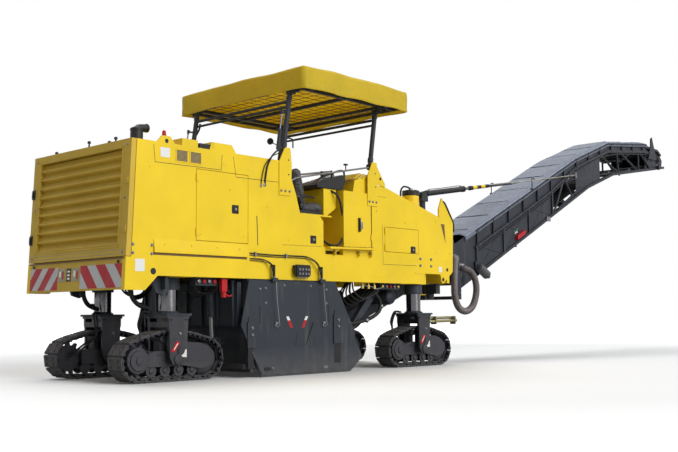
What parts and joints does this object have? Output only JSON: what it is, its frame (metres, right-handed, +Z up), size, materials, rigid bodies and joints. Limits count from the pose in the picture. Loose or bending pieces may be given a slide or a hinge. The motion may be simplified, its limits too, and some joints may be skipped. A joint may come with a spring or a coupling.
{
  "type": "front-loading cold planer",
  "caption": "Road milling machine on crawler tracks with lifting columns, milling drum, open operator's station under a canopy, and a long slewing discharge conveyor.",
  "frame": {"origin": "on the floor under the middle of the machine's overall length, on its centre plane", "axes": "+X forward, from the grille end to the conveyor's head; +Y to the machine's left; +Z up"},
  "size_m": [14.3, 2.4, 4.46],
  "materials": {
    "yellow_paint": "semi-gloss paint",
    "slate_paint": "satin paint",
    "graphite_steel": "rolled and oiled steel",
    "column_steel": "hard chromed column, dark painted yoke",
    "bare_steel": "plated",
    "black_paint": "matt",
    "black_vinyl": "matt vinyl",
    "canopy_cloth": "coated tarpaulin",
    "cover_cloth": "coated cloth"
  },
  "bodies": {
    "root": {"main_frame": "yellow_paint", "rear_bumper": "yellow_paint", "radiator": "graphite_steel", "engine_block": "graphite_steel", "hood_side_right": "yellow_paint", "hood_side_left": "yellow_paint", "hood_roof": "yellow_paint", "hood_front_wall": "yellow_paint", "exhaust_stack": "black_paint", "operator_platform": "yellow_paint", "seat_pedestal": "yellow_paint", "seat_right": "black_vinyl", "seat_left": "black_vinyl", "front_cabinet_right": "yellow_paint", "front_cabinet_left": "yellow_paint", "control_console": "yellow_paint", "front_tank": "yellow_paint", "filler_neck": "yellow_paint", "filler_cap": "black_paint", "front_bulkhead": "yellow_paint", "drum_housing": "slate_paint", "scraper_blade": "slate_paint", "pickup_conveyor": "slate_paint", "canopy_bracket_rear_right": "yellow_paint", "canopy_bracket_rear_left": "yellow_paint", "canopy_bracket_front_right": "yellow_paint", "canopy_bracket_front_left": "yellow_paint"},
    "rear_door": {"rear_grille_door": "yellow_paint"},
    "engine_door_right": {"engine_door_right": "yellow_paint"},
    "engine_door_left": {"engine_door_left": "yellow_paint"},
    "toolbox_door_right": {"toolbox_door_right": "yellow_paint"},
    "toolbox_door_left": {"toolbox_door_left": "yellow_paint"},
    "crawler_rear_right": {"leg_rear_right": "column_steel", "track_frame_rear_right": "graphite_steel", "track_rear_right": "graphite_steel"},
    "crawler_rear_left": {"leg_rear_left": "column_steel", "track_frame_rear_left": "graphite_steel", "track_rear_left": "graphite_steel"},
    "crawler_front_right": {"leg_front_right": "column_steel", "track_frame_front_right": "graphite_steel", "track_front_right": "graphite_steel"},
    "crawler_front_left": {"leg_front_left": "column_steel", "track_frame_front_left": "graphite_steel", "track_front_left": "graphite_steel"},
    "milling_drum": {"milling_drum": "graphite_steel"},
    "side_plate_right": {"side_plate_right": "slate_paint"},
    "side_plate_left": {"side_plate_left": "slate_paint"},
    "conveyor_slew": {"conveyor_slew_frame": "slate_paint"},
    "discharge_conveyor": {"discharge_conveyor_frame": "slate_paint", "conveyor_cover": "cover_cloth"},
    "suspension_barrel": {"suspension_barrel": "black_paint"},
    "suspension_rod": {"suspension_rod": "bare_steel"},
    "canopy_posts_rear": {"canopy_posts_rear": "slate_paint"},
    "canopy": {"canopy_frame": "slate_paint", "canopy_cover": "canopy_cloth"},
    "canopy_posts_front": {"canopy_posts_front": "slate_paint"}
  },
  "joints": [
    {"name": "rear_door_swing", "type": "hinge", "parent": "root", "child": "rear_door", "pos_m": [-7.0383, 0.9843, 2], "axis": [-0.045, 0, -0.999], "range_deg": [0, 110]},
    {"name": "engine_door_right_swing", "type": "hinge", "parent": "root", "child": "engine_door_right", "pos_m": [-6.22, -0.9843, 1.95], "axis": [0, 0, -1], "range_deg": [0, 100]},
    {"name": "toolbox_door_right_swing", "type": "hinge", "parent": "root", "child": "toolbox_door_right", "pos_m": [-2.99, -0.9843, 1.73], "axis": [0, 0, -1], "range_deg": [0, 100]},
    {"name": "engine_door_left_swing", "type": "hinge", "parent": "root", "child": "engine_door_left", "pos_m": [-6.22, 0.9843, 1.95], "axis": [0, 0, 1], "range_deg": [0, 100]},
    {"name": "toolbox_door_left_swing", "type": "hinge", "parent": "root", "child": "toolbox_door_left", "pos_m": [-2.99, 0.9843, 1.73], "axis": [0, 0, 1], "range_deg": [0, 100]},
    {"name": "steer_rear_right", "type": "hinge", "parent": "root", "child": "crawler_rear_right", "pos_m": [-6.338, -0.64, 0.8], "axis": [0, 0, 1], "range_deg": [-25, 25]},
    {"name": "steer_rear_left", "type": "hinge", "parent": "root", "child": "crawler_rear_left", "pos_m": [-6.338, 0.64, 0.8], "axis": [0, 0, 1], "range_deg": [-25, 25]},
    {"name": "steer_front_right", "type": "hinge", "parent": "root", "child": "crawler_front_right", "pos_m": [-2.19, -0.815, 0.8], "axis": [0, 0, 1], "range_deg": [-25, 25]},
    {"name": "steer_front_left", "type": "hinge", "parent": "root", "child": "crawler_front_left", "pos_m": [-2.19, 0.815, 0.8], "axis": [0, 0, 1], "range_deg": [-25, 25]},
    {"name": "drum_spin", "type": "hinge", "parent": "root", "child": "milling_drum", "pos_m": [-4.51, 0, 0.452], "axis": [0, 1, 0], "continuous": true},
    {"name": "side_plate_right_lift", "type": "slide", "parent": "root", "child": "side_plate_right", "axis": [0, 0, 1], "range_m": [0, 0.15]},
    {"name": "side_plate_left_lift", "type": "slide", "parent": "root", "child": "side_plate_left", "axis": [0, 0, 1], "range_m": [0, 0.15]},
    {"name": "conveyor_slew", "type": "hinge", "parent": "root", "child": "conveyor_slew", "pos_m": [-0.9, 0, 1.04], "axis": [0, 0, 1], "range_deg": [-30, 30]},
    {"name": "conveyor_lift", "type": "hinge", "parent": "conveyor_slew", "child": "discharge_conveyor", "pos_m": [-0.63, 0, 1.33], "axis": [0, -1, 0], "range_deg": [-20, 4]},
    {"name": "suspension_tilt", "type": "hinge", "parent": "conveyor_slew", "child": "suspension_barrel", "pos_m": [-0.9, 0, 2.62], "axis": [0, -1, 0], "range_deg": [-20, 5]},
    {"name": "suspension_extend", "type": "slide", "parent": "suspension_barrel", "child": "suspension_rod", "axis": [0.9865, 0, 0.1636], "range_m": [-0.1, 0.46]},
    {"name": "canopy_fold", "type": "hinge", "parent": "root", "child": "canopy_posts_rear", "pos_m": [-4.82, 0, 2.7], "axis": [0, -1, 0], "range_deg": [0, 80]},
    {"name": "canopy_level", "type": "hinge", "parent": "canopy_posts_rear", "child": "canopy", "pos_m": [-4.7, 0, 3.475], "axis": [0, -1, 0], "range_deg": [-80, 0]},
    {"name": "canopy_front_fold", "type": "hinge", "parent": "canopy", "child": "canopy_posts_front", "pos_m": [-3.08, 0, 3.475], "axis": [0, -1, 0], "range_deg": [0, 80]}
  ],
  "couplings": [
    {"joint": "steer_front_left", "follows": "steer_front_right", "ratio": 1},
    {"joint": "steer_rear_left", "follows": "steer_rear_right", "ratio": 1},
    {"joint": "suspension_tilt", "follows": "conveyor_lift", "ratio": 0.94},
    {"joint": "suspension_extend", "follows": "conveyor_lift", "m_per_rad": -1.29},
    {"joint": "canopy_level", "follows": "canopy_fold", "ratio": -1},
    {"joint": "canopy_front_fold", "follows": "canopy_fold", "ratio": 1}
  ]
}
